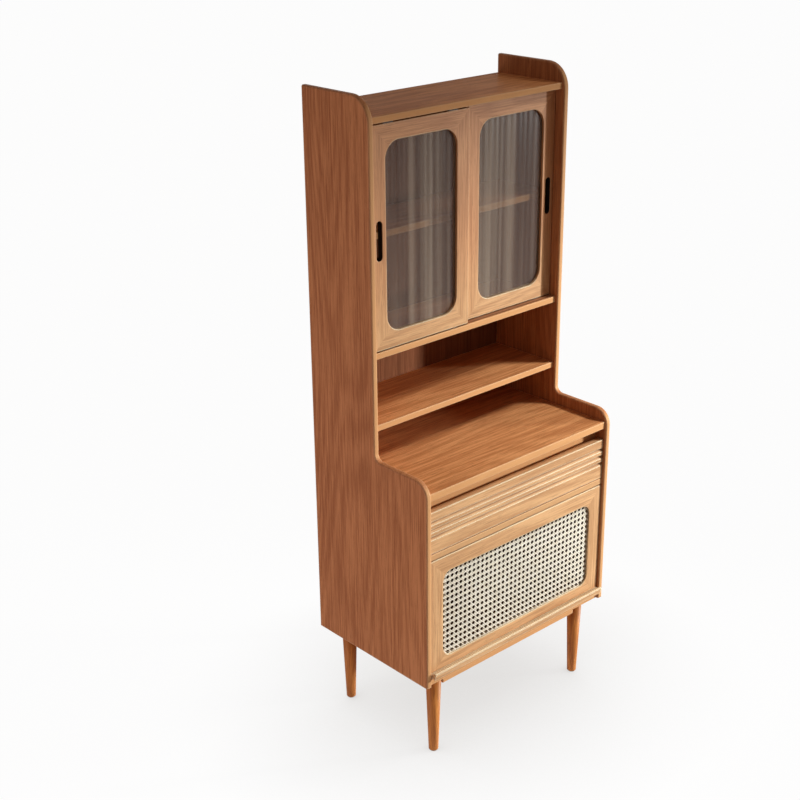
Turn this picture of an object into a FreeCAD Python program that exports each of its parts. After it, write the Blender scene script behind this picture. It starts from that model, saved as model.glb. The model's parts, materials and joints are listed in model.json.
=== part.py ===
import FreeCAD, Part
import math
import os
import Sketcher
from collections import namedtuple

# Display cabinet whose side panels step back above a counter. Two glazed sliding doors stand over an
# open niche, with a drawer and a lift-up cane flap below, on four turned legs.
# Millimetres. The front faces -Y, the floor is Z = 0 and X = 0 is the middle of the width.

SIZES = {
    # carcass
    "width": 630,
    "side_depth": 395,
    "upper_setback": 175.5,
    "side_thick": 15,
    "board_thick": 15,
    "counter_thick": 18,
    "board_back_gap": 2,
    "back_thick": 5,
    "back_inset": 6,
    "back_groove": 5,
    "back_play": 0.2,
    # clear heights, from the floor up
    "leg_gap": 220,
    "cabinet_clear": 317,
    "drawer_clear": 137,
    "lower_niche_clear": 97,
    "upper_niche_clear": 160,
    "display_clear": 514,
    "crown": 45,
    "gallery": 30.5,
    # outline of the side panels
    "crown_round": 60,
    "neck_round": 18,
    "shoulder_round": 40,
    "side_arris": 4,
    "board_arris": 1.2,
    # fronts, measured back from the side panels
    "counter_setback": 6,
    "face_setback": 7,
    "shelf_setback": 8,
    "rail_setback": 35,
    "rail_height": 44,
    "door_setback": 9.5,
    # loose shelf in the display space
    "shelf_behind_door": 4,
    "shelf_side_gap": 1,
    "pin_radius": 2.5,
    "pin_in_side": 8,
    "pin_out": 8,
    "pin_play": 0.05,
    # loose tenons between the boards and the side panels
    "tenon_width": 40,
    "tenon_thick": 6,
    "tenon_in_board": 20,
    "tenon_in_side": 9,
    "tenon_play": 0.1,
    "rail_tenon_height": 24,
    # legs
    "leg_inset_side": 60,
    "leg_inset_front": 42.5,
    "leg_inset_back": 41,
    "leg_top_radius": 19.5,
    "leg_foot_radius": 12,
    "leg_foot_chamfer": 2,
    "glide_radius": 9,
    "glide_thick": 2,
    "bolt_radius": 4,
    "bolt_in_leg": 28,
    "bolt_in_board": 9,
    "bolt_play": 0.1,
    "stretcher_setback": 30,
    "stretcher_thick": 18,
    "stretcher_height": 32,
    "stretcher_end_gap": 0.3,
    # sliding doors
    "door_meeting_gap": 12,
    "door_thick": 15,
    "door_gap": 2.5,
    "door_side_gap": 1.5,
    "door_lift": 2.5,
    "door_head": 3.5,
    "door_lap": 9,
    "door_frame": 38,
    "door_window_round": 40,
    "door_lip": 6,
    "door_rebate": 8,
    "glass_thick": 4,
    "glass_play": 0.5,
    "slot_length": 91,
    "slot_width": 18,
    "slot_inset": 18,
    "track_edge": 5,
    "lower_track_thick": 6,
    "lower_track_groove": 4,
    "upper_track_thick": 9,
    "upper_track_groove": 7,
    "track_groove_width": 5,
    "glide_tongue": 4,
    "runner_length": 30,
    "runner_plate": 1.5,
    "runner_plate_width": 11,
    "runner_inset": 34,
    "runner_play": 0.3,
    # drawer
    "drawer_side_gap": 2,
    "drawer_foot_gap": 2.5,
    "drawer_front_height": 105,
    "drawer_front_thick": 18,
    "first_slat": 22.5,
    "groove_pitch": 19,
    "groove_open": 10,
    "groove_depth": 7,
    "drawer_box_depth": 320,
    "drawer_box_height": 76,
    "drawer_box_lift": 11,
    "drawer_wall": 12,
    "drawer_bottom_thick": 5,
    "drawer_bottom_lift": 8,
    "drawer_groove": 6,
    "drawer_play": 0.3,
    "slide_gap": 12.5,
    "slide_height": 36,
    "slide_metal": 1.5,
    "slide_length": 300,
    "slide_outer_reach": 9,
    "slide_inner_reach": 8.5,
    "slide_play": 0.4,
    "slide_setback": 8,
    # cane flap
    "flap_side_gap": 2,
    "flap_head_gap": 3,
    "flap_foot_gap": 4.5,
    "flap_thick": 18,
    "flap_frame": 41,
    "flap_window_round": 27,
    "flap_lip": 4,
    "flap_rebate": 9,
    "cane_thick": 2.5,
    "cane_play": 0.5,
    "cane_bead_thick": 6,
    "pull_out": 11,
    "pull_height": 19,
    "pivot_back": 7,
    "pivot_drop": 10,
    "pivot_radius": 3,
    "pivot_in_flap": 16,
    "pivot_in_side": 8,
    "pivot_play": 0.05,
    "bush_wall": 2,
    "bush_length": 10,
}

CANE_COLUMNS = 17
CANE_ROWS = 8
CANE_HOLE_SHARE = 0.5
GROOVES = 3
LEG_SIDES = 24
TENON_SHARES = (0.35, 0.8)
PIN_SHARES = (0.15, 0.85)
GROOVE_FLOOR_SHARE = 0.9
MITRE_SHARE = 1 - math.sqrt(0.5)
# Pull rail in profile: shares of its depth back from the nose and of its height up from its foot.
PULL_SHARES = (
    (1.0, 0.0),
    (1.0, 0.72),
    (0.76, 0.62),
    (0.30, 1.0),
    (0.08, 0.97),
    (0.0, 0.82),
    (0.16, 0.05),
    (0.26, 0.0),
    (0.64, 0.46),
    (0.86, 0.0),
)
TINY = 1e-6

Frame = namedtuple("Frame", "width thick lip rebate window_round arris")

doc = FreeCAD.newDocument("display_cabinet")
sheet = doc.addObject("Spreadsheet::Sheet", "Sizes")
for row, (alias, number) in enumerate(SIZES.items(), 1):
    sheet.set(f"A{row}", alias)
    sheet.set(f"B{row}", str(number))
    sheet.setAlias(f"B{row}", alias)
doc.recompute()

nodes = []
cuts = []


class Size:
    """A length that carries its number and the sheet expression that gives it."""

    def __init__(self, number, text):
        self.number = number
        self.text = text

    @staticmethod
    def of(thing):
        return thing if isinstance(thing, Size) else Size(float(thing), repr(float(thing)))

    def join(self, sign, other, number):
        return Size(number, f"({self.text} {sign} {other.text})")

    def __add__(self, other):
        other = Size.of(other)
        return self.join("+", other, self.number + other.number)

    def __sub__(self, other):
        other = Size.of(other)
        return self.join("-", other, self.number - other.number)

    def __mul__(self, other):
        other = Size.of(other)
        return self.join("*", other, self.number * other.number)

    def __truediv__(self, other):
        other = Size.of(other)
        return self.join("/", other, self.number / other.number)

    def __neg__(self):
        return Size(-self.number, f"(-{self.text})")

    def __radd__(self, other):
        return Size.of(other) + self

    def __rsub__(self, other):
        return Size.of(other) - self

    def __rmul__(self, other):
        return Size.of(other) * self


class Sheet:
    """Reads a size of the sheet by its alias."""

    def __getattr__(self, alias):
        return Size(float(sheet.get(alias)), f"Sizes.{alias}")


S = Sheet()


def bind(thing, field, size):
    thing.setExpression(field, Size.of(size).text)


def place(thing, start, axis=None, angle=0):
    """Put a solid at a start point, turned about an axis through it."""
    if axis is not None:
        thing.Placement = FreeCAD.Placement(FreeCAD.Vector(), FreeCAD.Rotation(axis, angle))
    for name, size in zip("xyz", start):
        bind(thing, f"Placement.Base.{name}", size)


def box(label, start, extent):
    solid = doc.addObject("Part::Box", label)
    for field, size in zip(("Length", "Width", "Height"), extent):
        bind(solid, field, size)
    place(solid, start)
    return solid


def rod(label, radius, length, start, axis=None, angle=0):
    """Round bar that stands up from its start, unless it is turned."""
    solid = doc.addObject("Part::Cylinder", label)
    bind(solid, "Radius", radius)
    bind(solid, "Height", length)
    place(solid, start, axis, angle)
    return solid


def rod_along_x(label, radius, length, start):
    return rod(label, radius, length, start, FreeCAD.Vector(0, 1, 0), 90)


def gather(label, solids):
    """Several separate solids under one name."""
    group = doc.addObject("Part::Compound", label)
    group.Links = solids
    return group


def cut(label, base, tools):
    result = doc.addObject("Part::Cut", label)
    result.Base = base
    result.Tool = tools[0] if len(tools) == 1 else gather(f"{label}_cuts", tools)
    cuts.append(result)
    return result


def node(solid):
    nodes.append(solid)
    return solid


def rounded(corners):
    """Points and arcs of an outline of level and upright edges; a third value rounds its corner."""
    points = []
    arcs = {}
    count = len(corners)
    for index, corner in enumerate(corners):
        before = corners[index - 1]
        after = corners[(index + 1) % count]
        if len(corner) == 2:
            points.append(corner)
            continue
        radius = corner[2]
        into = [math.copysign(1, c.number - b.number) if abs(c.number - b.number) > TINY else 0
                for b, c in zip(before[:2], corner[:2])]
        out = [math.copysign(1, a.number - c.number) if abs(a.number - c.number) > TINY else 0
               for c, a in zip(corner[:2], after[:2])]
        arcs[len(points)] = (radius, into[0] * out[1] - into[1] * out[0] > 0)
        points.append(tuple(c - radius * step for c, step in zip(corner[:2], into)))
        points.append(tuple(c + radius * step for c, step in zip(corner[:2], out)))
    return points, arcs


def arc_between(start, end, radius, left_turn):
    """Arc of less than half a turn from one point to another."""
    chord = end - start
    side = FreeCAD.Vector(-chord.y, chord.x, 0).normalize()
    if not left_turn:
        side = -side
    rise = math.sqrt(max(radius * radius - chord.Length ** 2 / 4, 0))
    centre = (start + end) / 2 + side * rise
    first, last = (start, end) if left_turn else (end, start)
    angles = [math.atan2(p.y - centre.y, p.x - centre.x) for p in (first, last)]
    circle = Part.Circle(centre, FreeCAD.Vector(0, 0, 1), radius)
    return Part.ArcOfCircle(circle, *angles)


def outline(body, name, plane, points, arcs):
    """Closed sketch whose points and radii are all driven by the sheet."""
    sketch = body.newObject("Sketcher::SketchObject", name)
    support = next(feature for feature in body.Origin.OriginFeatures if feature.Role == plane)
    sketch.AttachmentSupport = [(support, "")]
    sketch.MapMode = "FlatFace"
    spots = [FreeCAD.Vector(u.number, v.number, 0) for u, v in points]
    count = len(spots)
    ends = []
    for index, spot in enumerate(spots):
        following = spots[(index + 1) % count]
        if index in arcs:
            radius, left_turn = arcs[index]
            sketch.addGeometry(arc_between(spot, following, radius.number, left_turn), False)
            ends.append((1, 2) if left_turn else (2, 1))
        else:
            sketch.addGeometry(Part.LineSegment(spot, following), False)
            ends.append((1, 2))
    for index, point in enumerate(points):
        following = (index + 1) % count
        sketch.addConstraint(
            Sketcher.Constraint("Coincident", index, ends[index][1], following, ends[following][0]))
        for axis, size in zip(("DistanceX", "DistanceY"), point):
            rule = sketch.addConstraint(
                Sketcher.Constraint(axis, -1, 1, index, ends[index][0], size.number))
            bind(sketch, f"Constraints[{rule}]", size)
        if index in arcs:
            radius = arcs[index][0]
            rule = sketch.addConstraint(Sketcher.Constraint("Radius", index, radius.number))
            bind(sketch, f"Constraints[{rule}]", radius)
    return sketch


def pad(body, sketch, length, reverse=False):
    feature = body.newObject("PartDesign::Pad", f"{sketch.Name}_pad")
    feature.Profile = sketch
    feature.Reversed = reverse
    bind(feature, "Length", length)
    return feature


def ease(body, feature, radius, wanted):
    """Round every edge of a feature that passes the test."""
    doc.recompute()
    edges = [f"Edge{index}" for index, edge in enumerate(feature.Shape.Edges, 1) if wanted(edge.BoundBox)]
    rounding = body.newObject("PartDesign::Fillet", f"{body.Name}_arris")
    rounding.Base = (feature, edges)
    bind(rounding, "Radius", radius)
    return rounding


def section_along_x(label, points, arcs, length, start):
    """Profile in depth and height, run along X."""
    body = doc.addObject("PartDesign::Body", label)
    sketch = outline(body, f"{label}_section", "YZ_Plane", points, arcs)
    pad(body, sketch, length)
    place(body, start)
    return body


ZERO = Size.of(0)
half_width = S.width / 2
inner_half = half_width - S.side_thick
inner_width = S.width - 2 * S.side_thick
front = (S.pull_out - S.side_depth) / 2
back = front + S.side_depth
upper_front = front + S.upper_setback
back_panel_front = back - S.back_inset - S.back_thick
bottom_z = S.leg_gap
bottom_top = bottom_z + S.board_thick
divider_z = bottom_top + S.cabinet_clear
divider_top = divider_z + S.board_thick
counter_z = divider_top + S.drawer_clear
counter_level = counter_z + S.counter_thick
niche_z = counter_level + S.lower_niche_clear
niche_top = niche_z + S.board_thick
track_z = niche_top + S.upper_niche_clear
track_top = track_z + S.board_thick
top_z = track_top + S.display_clear
top_level = top_z + S.board_thick
crown_level = top_level + S.crown
front_lane = upper_front + S.door_setback + S.door_thick / 2
lane_pitch = S.door_thick + S.door_gap
pivot_y = front + S.face_setback + S.pivot_back
flap_top = divider_z - S.flap_head_gap
pivot_z = flap_top - S.pivot_drop
shelf_front = front_lane + lane_pitch + S.door_thick / 2 + S.shelf_behind_door
shelf_middle = track_top + S.display_clear / 2
shelf_depth = back_panel_front - shelf_front

tenons = []
mortises = {"left": [], "right": []}


def tenon(name, y, z, deep, high):
    """Loose tenon at both ends of a board; returns the mortises that it needs."""
    found = []
    length = S.tenon_in_board + S.tenon_in_side
    play = S.tenon_play
    for side, x in (("left", -inner_half - S.tenon_in_side), ("right", inner_half - S.tenon_in_board)):
        tenons.append(box(
            f"{name}_{side}_tenon", (x, y - deep / 2, z - high / 2), (length, deep, high)))
        mortise = box(
            f"{name}_{side}_mortise",
            (x, y - deep / 2 - play, z - high / 2 - play),
            (length, deep + 2 * play, high + 2 * play))
        mortises[side].append(mortise)
        found.append(mortise)
    return found


def board(label, y, depth, z, thick, cutters=()):
    """Board between the side panels, tenoned to both, with eased front edges."""
    blank = section_along_x(
        f"{label}_blank",
        *rounded([
            (ZERO, ZERO, S.board_arris),
            (depth, ZERO),
            (depth, thick),
            (ZERO, thick, S.board_arris),
        ]),
        inner_width,
        (-inner_half, y, z))
    holes = []
    for index, share in enumerate(TENON_SHARES, 1):
        holes += tenon(f"{label}_{index}", y + depth * share, z + thick / 2, S.tenon_width, S.tenon_thick)
    return node(cut(label, blank, holes + list(cutters)))


# Boards of the carcass. Three run to the back edge and hold the back panels between them.
full_depth = S.side_depth - S.board_back_gap
upper_depth = full_depth - S.upper_setback - S.shelf_setback
inner_depth = back_panel_front - upper_front - S.shelf_setback
leg_spots = {
    "front_left_leg": (-half_width + S.leg_inset_side, front + S.leg_inset_front),
    "front_right_leg": (half_width - S.leg_inset_side, front + S.leg_inset_front),
    "back_left_leg": (-half_width + S.leg_inset_side, back - S.leg_inset_back),
    "back_right_leg": (half_width - S.leg_inset_side, back - S.leg_inset_back),
}
bolt_holes = [
    rod(f"{name}_board_hole", S.bolt_radius + S.bolt_play, S.bolt_in_board, (x, y, bottom_z))
    for name, (x, y) in leg_spots.items()
]
track_width = lane_pitch + 2 * S.track_edge
track_front = front_lane - S.track_edge
upper_track_recess = box(
    "upper_track_recess",
    (-inner_half, track_front, top_z),
    (inner_width, track_width, S.upper_track_thick))
lower_track_recess = box(
    "lower_track_recess",
    (-inner_half, track_front, track_top - S.lower_track_thick),
    (inner_width, track_width, S.lower_track_thick))

board("top_board", upper_front + S.shelf_setback, upper_depth, top_z, S.board_thick, [upper_track_recess])
board("track_board", upper_front + S.shelf_setback, inner_depth, track_z, S.board_thick, [lower_track_recess])
board("niche_shelf", upper_front + S.shelf_setback, inner_depth, niche_z, S.board_thick)
board("counter_top", front + S.counter_setback, full_depth - S.counter_setback, counter_z, S.counter_thick)
board("divider_board", front + S.face_setback, back_panel_front - front - S.face_setback, divider_z,
      S.board_thick)
board("bottom_board", front + S.face_setback, full_depth - S.face_setback, bottom_z,
      S.board_thick, bolt_holes)

# Rail under the counter, at the back of the finger space over the drawer.
rail_z = counter_z - S.rail_height
rail_blank = box(
    "counter_rail_blank",
    (-inner_half, front + S.rail_setback, rail_z),
    (inner_width, S.board_thick, S.rail_height))
rail_mortises = tenon(
    "counter_rail",
    front + S.rail_setback + S.board_thick / 2,
    rail_z + S.rail_height / 2,
    S.tenon_thick,
    S.rail_tenon_height)
node(cut("counter_rail", rail_blank, rail_mortises))

# Loose shelf on four pins.
node(box(
    "display_shelf",
    (-inner_half + S.shelf_side_gap, shelf_front, shelf_middle - S.board_thick / 2),
    (inner_width - 2 * S.shelf_side_gap, shelf_depth, S.board_thick)))
pins = []
pin_holes = {"left": [], "right": []}
for index, share in enumerate(PIN_SHARES, 1):
    pin_spot = (shelf_front + shelf_depth * share, shelf_middle - S.board_thick / 2 - S.pin_radius)
    for side, start, hole_start in (
        ("left", -inner_half - S.pin_in_side, -inner_half - S.pin_in_side),
        ("right", inner_half - S.pin_out, inner_half),
    ):
        pins.append(rod_along_x(
            f"{side}_pin_{index}", S.pin_radius, S.pin_in_side + S.pin_out, (start, *pin_spot)))
        pin_holes[side].append(rod_along_x(
            f"{side}_pin_hole_{index}", S.pin_radius + S.pin_play, S.pin_in_side, (hole_start, *pin_spot)))
node(gather("shelf_pins", pins))

# Side panels: one stepped outline each, rounded along the front and over the top.
side_outline = rounded([
    (ZERO, ZERO),
    (S.side_depth, ZERO),
    (S.side_depth, crown_level - bottom_z),
    (S.upper_setback, crown_level - bottom_z, S.crown_round),
    (S.upper_setback, counter_level + S.gallery - bottom_z, S.neck_round),
    (ZERO, counter_level + S.gallery - bottom_z, S.shoulder_round),
])


def on_show_edge(bounds):
    """Edges of the two broad faces, other than along the back and the foot."""
    flat = bounds.XLength < TINY
    return flat and bounds.YMin < S.side_depth.number - TINY and bounds.ZMax > TINY


bush_radius = S.pivot_radius + S.pivot_play + S.bush_wall
bushes = []
for side, panel_x, groove_x, bush_x in (
    ("left", -half_width, -inner_half - S.back_groove, -inner_half - S.bush_length),
    ("right", inner_half, inner_half, inner_half),
):
    panel = section_along_x(
        f"{side}_side_blank", *side_outline, S.side_thick, (panel_x, front, bottom_z))
    ease(panel, panel.Tip, S.side_arris, on_show_edge)
    groove = box(
        f"{side}_back_groove",
        (groove_x, back_panel_front, bottom_top),
        (S.back_groove, S.back_thick + S.back_play, top_z - bottom_top))
    bush_hole = rod_along_x(f"{side}_bush_hole", bush_radius, S.bush_length, (bush_x, pivot_y, pivot_z))
    node(cut(
        f"{side}_side_panel", panel, [groove, bush_hole] + mortises[side] + pin_holes[side]))
    bush_blank = rod_along_x(f"{side}_bush_blank", bush_radius, S.bush_length, (bush_x, pivot_y, pivot_z))
    bore = rod_along_x(
        f"{side}_bush_bore", S.pivot_radius + S.pivot_play, S.bush_length, (bush_x, pivot_y, pivot_z))
    bushes.append(cut(f"{side}_bush", bush_blank, [bore]))
node(gather("flap_pivot_bushes", bushes))
node(gather("carcass_tenons", tenons))

# Back panels slide in grooves of the side panels.
back_tongue = S.back_groove - S.back_play
for label, foot, head in (
    ("lower_back_panel", bottom_top, counter_z),
    ("upper_back_panel", counter_level, top_z),
):
    node(box(
        label,
        (-inner_half - back_tongue, back_panel_front, foot),
        (inner_width + 2 * back_tongue, S.back_thick, head - foot)))


# Legs, screwed to the bottom board.
leg_foot = S.glide_thick
leg_length = bottom_z - leg_foot
bore_radius = S.bolt_radius + S.bolt_play
leg_stages = [
    (S.leg_foot_radius - S.leg_foot_chamfer, ZERO),
    (S.leg_foot_radius, S.leg_foot_chamfer),
    (S.leg_top_radius, leg_length),
]


def leg_ring(label, radius, spot):
    """Closed ring of many short sides, near enough to a circle."""
    ring = doc.addObject("Part::RegularPolygon", label)
    ring.Polygon = LEG_SIDES
    bind(ring, "Circumradius", radius)
    place(ring, spot)
    return ring


def turned(label, stages, x, y, z):
    """Solid through rings one above the other."""
    solid = doc.addObject("Part::Loft", label)
    solid.Sections = [
        leg_ring(f"{label}_ring_{index}", radius, (x, y, z + rise))
        for index, (radius, rise) in enumerate(stages, 1)
    ]
    solid.Solid = True
    solid.Ruled = True
    return solid


bolts = []
glides = []
for name, (x, y) in leg_spots.items():
    leg_blank = turned(f"{name}_blank", leg_stages, x, y, leg_foot)
    leg_bore = rod(f"{name}_bore", bore_radius, S.bolt_in_leg, (x, y, bottom_z - S.bolt_in_leg))
    node(cut(name, leg_blank, [leg_bore]))
    bolts.append(rod(
        f"{name}_bolt",
        S.bolt_radius,
        S.bolt_in_leg + S.bolt_in_board,
        (x, y, bottom_z - S.bolt_in_leg)))
    glides.append(rod(f"{name}_glide", S.glide_radius, S.glide_thick, (x, y, ZERO)))
node(gather("leg_bolts", bolts))
node(gather("leg_glides", glides))

stretcher_half = half_width - S.leg_inset_side - S.leg_top_radius - S.stretcher_end_gap
node(section_along_x(
    "front_stretcher",
    *rounded([
        (ZERO, ZERO, S.board_arris),
        (S.stretcher_thick, ZERO),
        (S.stretcher_thick, S.stretcher_height),
        (ZERO, S.stretcher_height),
    ]),
    2 * stretcher_half,
    (-stretcher_half, front + S.stretcher_setback, bottom_z - S.stretcher_height)))


def track(label, thick, groove, z, grooves_up):
    """Strip with two running grooves, let into a board."""
    lane_starts = [S.track_edge - S.track_groove_width / 2 + lane_pitch * lane for lane in (1, 0)]
    face, floor = (thick, thick - groove) if grooves_up else (ZERO, groove)
    base = ZERO if grooves_up else thick
    points = [(ZERO, base), (track_width, base), (track_width, face)]
    for start in lane_starts:
        end = start + S.track_groove_width
        points += [(end, face), (end, floor), (start, floor), (start, face)]
    points.append((ZERO, face))
    return node(section_along_x(label, points, {}, inner_width, (-inner_half, track_front, z)))


track("lower_door_track", S.lower_track_thick, S.lower_track_groove, track_top - S.lower_track_thick, True)
track("upper_door_track", S.upper_track_thick, S.upper_track_groove, top_z, False)


def mitred_member(label, length, frame):
    """Frame piece along X, outer edge down, with mitred ends and half of each rounded window corner."""
    body = doc.addObject("PartDesign::Body", label)
    corner = frame.width + frame.window_round
    mitre = frame.width + frame.window_round * MITRE_SHARE
    show = outline(
        body,
        f"{label}_show",
        "XZ_Plane",
        [
            (ZERO, ZERO),
            (length, ZERO),
            (length - mitre, mitre),
            (length - corner, frame.width),
            (corner, frame.width),
            (mitre, mitre),
        ],
        {2: (frame.window_round, False), 4: (frame.window_round, False)})
    pad(body, show, frame.lip, True)
    inner = frame.width - frame.rebate
    rear = outline(
        body,
        f"{label}_rear",
        "XZ_Plane",
        [(ZERO, ZERO), (length, ZERO), (length - inner, inner), (inner, inner)],
        {})
    bind(rear, "AttachmentOffset.Base.z", -frame.lip)
    last = pad(body, rear, frame.thick - frame.lip, True)
    ease(
        body,
        last,
        frame.arris,
        lambda bounds: bounds.YMax < TINY and bounds.ZMax < TINY)
    return body


def mitred_frame(prefix, start, width, height, frame):
    """Four members round a window: turned in steps of a quarter about their outer corners."""
    x, y, z = start
    upright = FreeCAD.Vector(0, 1, 0)
    members = {}
    for name, length, corner, angle in (
        ("bottom_rail", width, (x, y, z), 0),
        ("right_stile", height, (x + width, y, z), -90),
        ("top_rail", width, (x + width, y, z + height), 180),
        ("left_stile", height, (x, y, z + height), 90),
    ):
        member = mitred_member(f"{prefix}_{name}", length, frame)
        place(member, corner, upright, angle)
        members[name] = member
    return members


def bead_ring(label, start, width, height, bead, thick):
    """Four strips round a rebate, the level ones between the upright ones."""
    x, y, z = start
    strips = [
        box(f"{label}_left", (x, y, z), (bead, thick, height)),
        box(f"{label}_right", (x + width - bead, y, z), (bead, thick, height)),
        box(f"{label}_foot", (x + bead, y, z), (width - 2 * bead, thick, bead)),
        box(f"{label}_head", (x + bead, y, z + height - bead), (width - 2 * bead, thick, bead)),
    ]
    return node(gather(label, strips))


def finger_slot(label, x, y, z):
    """Slot with round ends, through a stile."""
    reach = S.slot_length / 2 - S.slot_width / 2
    into = FreeCAD.Vector(1, 0, 0)
    middle = box(
        f"{label}_middle",
        (x - S.slot_width / 2, y, z - reach),
        (S.slot_width, S.door_thick, 2 * reach))
    ends = [
        rod(f"{label}_{name}", S.slot_width / 2, S.door_thick, (x, y, z + rise), into, -90)
        for name, rise in (("foot", -reach), ("head", reach))
    ]
    slot = doc.addObject("Part::MultiFuse", label)
    slot.Shapes = [middle] + ends
    return slot


door_frame = Frame(
    S.door_frame, S.door_thick, S.door_lip, S.door_rebate, S.door_window_round, S.board_arris)
door_width = inner_half - S.door_side_gap - S.door_meeting_gap / 2
door_z = track_top + S.door_lift
door_height = S.display_clear - S.door_lift - S.door_head
door_inner = S.door_frame - S.door_rebate
bead_width = S.door_rebate - S.glass_play


def runner(label, x, lane, plate_z, tongue_z, tongue_height):
    """Nylon runner: a plate on the door edge with a tongue in the track groove."""
    plate = box(
        f"{label}_plate",
        (x, lane - S.runner_plate_width / 2, plate_z),
        (S.runner_length, S.runner_plate_width, S.runner_plate))
    tongue = box(
        f"{label}_tongue",
        (x, lane - S.glide_tongue / 2, tongue_z),
        (S.runner_length, S.glide_tongue, tongue_height))
    solid = doc.addObject("Part::Fuse", label)
    solid.Base = plate
    solid.Tool = tongue
    return solid


def door(prefix, x, lane, slot_stile, slot_x):
    """Glazed door standing in one lane of the tracks."""
    y = lane - S.door_thick / 2
    members = mitred_frame(prefix, (x, y, door_z), door_width, door_height, door_frame)
    for name, member in members.items():
        if name == slot_stile:
            slot = finger_slot(f"{prefix}_slot", slot_x, y, door_z + door_height / 2)
            member.Label = f"{prefix}_{name}_blank"
            member = cut(f"{prefix}_{name}_slotted", member, [slot])
            member.Label = f"{prefix}_{name}"
        node(member)
    glass_inset = door_inner + S.glass_play
    glass_start = (x + glass_inset, y + S.door_lip, door_z + glass_inset)
    glass_width = door_width - 2 * glass_inset
    glass_height = door_height - 2 * glass_inset
    node(box(f"{prefix}_glass", glass_start, (glass_width, S.glass_thick, glass_height)))
    bead_ring(
        f"{prefix}_glass_beads",
        (glass_start[0], glass_start[1] + S.glass_thick, glass_start[2]),
        glass_width,
        glass_height,
        bead_width,
        S.door_thick - S.door_lip - S.glass_thick)
    runners = []
    door_top = door_z + door_height
    foot_z = track_top - S.lower_track_groove + S.runner_play
    head_z = top_z + S.upper_track_groove - S.runner_play
    for name, run_x in (
        ("left", x + S.runner_inset),
        ("right", x + door_width - S.runner_inset - S.runner_length),
    ):
        runners.append(runner(
            f"{prefix}_{name}_foot", run_x, lane, door_z - S.runner_plate, foot_z, door_z - foot_z))
        runners.append(runner(
            f"{prefix}_{name}_head", run_x, lane, door_top, door_top, head_z - door_top))
    node(gather(f"{prefix}_runners", runners))


left_door_x = -inner_half + S.door_side_gap
right_door_x = inner_half - S.door_side_gap - door_width
door("left_door", left_door_x, front_lane, "left_stile", left_door_x + S.slot_inset)
door(
    "right_door",
    right_door_x,
    front_lane + lane_pitch,
    "right_stile",
    right_door_x + door_width - S.slot_inset)

# Strip on the rear door that laps behind the front one.
lap_start = left_door_x + door_width - S.door_lap
node(box(
    "right_door_lap_strip",
    (lap_start, front_lane + lane_pitch - S.door_thick / 2, door_z),
    (right_door_x - lap_start, S.door_thick, door_height)))

# Drawer front with sloping grooves between slats.
drawer_x = -inner_half + S.drawer_side_gap
drawer_width = inner_width - 2 * S.drawer_side_gap
drawer_y = front + S.face_setback
drawer_z = divider_top + S.drawer_foot_gap
front_points, front_arcs = rounded([
    (S.drawer_front_thick, S.drawer_front_height),
    (ZERO, S.drawer_front_height, S.board_arris),
    (ZERO, ZERO),
    (S.drawer_front_thick, ZERO),
])
groove_points = []
for index in range(GROOVES):
    head = S.drawer_front_height - S.first_slat - S.groove_pitch * index
    groove_points += [
        (ZERO, head),
        (S.groove_depth, head),
        (S.groove_depth, head - S.groove_open * (1 - GROOVE_FLOOR_SHARE)),
        (ZERO, head - S.groove_open),
    ]
foot_index = len(front_points) - 2
front_points[foot_index:foot_index] = groove_points
box_x = -inner_half + S.slide_gap
box_width = inner_width - 2 * S.slide_gap
box_y = drawer_y + S.drawer_front_thick
box_z = divider_top + S.drawer_box_lift
panel_z = box_z + S.drawer_bottom_lift
tongue = S.drawer_groove - S.drawer_play
bottom_groove = box(
    "drawer_bottom_groove",
    (box_x + S.drawer_wall - S.drawer_groove, box_y - S.drawer_groove, panel_z),
    (
        box_width - 2 * S.drawer_wall + 2 * S.drawer_groove,
        S.drawer_box_depth - S.drawer_wall + 2 * S.drawer_groove,
        S.drawer_bottom_thick,
    ))
front_blank = section_along_x(
    "drawer_front_blank", front_points, front_arcs, drawer_width, (drawer_x, drawer_y, drawer_z))
node(cut("drawer_front", front_blank, [bottom_groove]))
for label, x in (
    ("drawer_left_side", box_x),
    ("drawer_right_side", box_x + box_width - S.drawer_wall),
):
    side = box(
        f"{label}_blank", (x, box_y, box_z), (S.drawer_wall, S.drawer_box_depth, S.drawer_box_height))
    node(cut(label, side, [bottom_groove]))
back_blank = box(
    "drawer_back_blank",
    (box_x + S.drawer_wall, box_y + S.drawer_box_depth - S.drawer_wall, box_z),
    (box_width - 2 * S.drawer_wall, S.drawer_wall, S.drawer_box_height))
node(cut("drawer_back", back_blank, [bottom_groove]))
node(box(
    "drawer_bottom",
    (box_x + S.drawer_wall - tongue, box_y - tongue, panel_z),
    (
        box_width - 2 * S.drawer_wall + 2 * tongue,
        S.drawer_box_depth - S.drawer_wall + 2 * tongue,
        S.drawer_bottom_thick,
    )))


def channel(label, x, z, height, reach, opens_right):
    """Folded steel channel along Y, open to one side."""
    body = doc.addObject("PartDesign::Body", label)
    metal = S.slide_metal
    web, lip = (ZERO, reach) if opens_right else (reach, ZERO)
    inside = metal if opens_right else reach - metal
    points = [
        (web, ZERO),
        (lip, ZERO),
        (lip, metal),
        (inside, metal),
        (inside, height - metal),
        (lip, height - metal),
        (lip, height),
        (web, height),
    ]
    sketch = outline(body, f"{label}_section", "XZ_Plane", points, {})
    pad(body, sketch, S.slide_length, True)
    place(body, (x, box_y + S.slide_setback, z))
    return body


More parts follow.
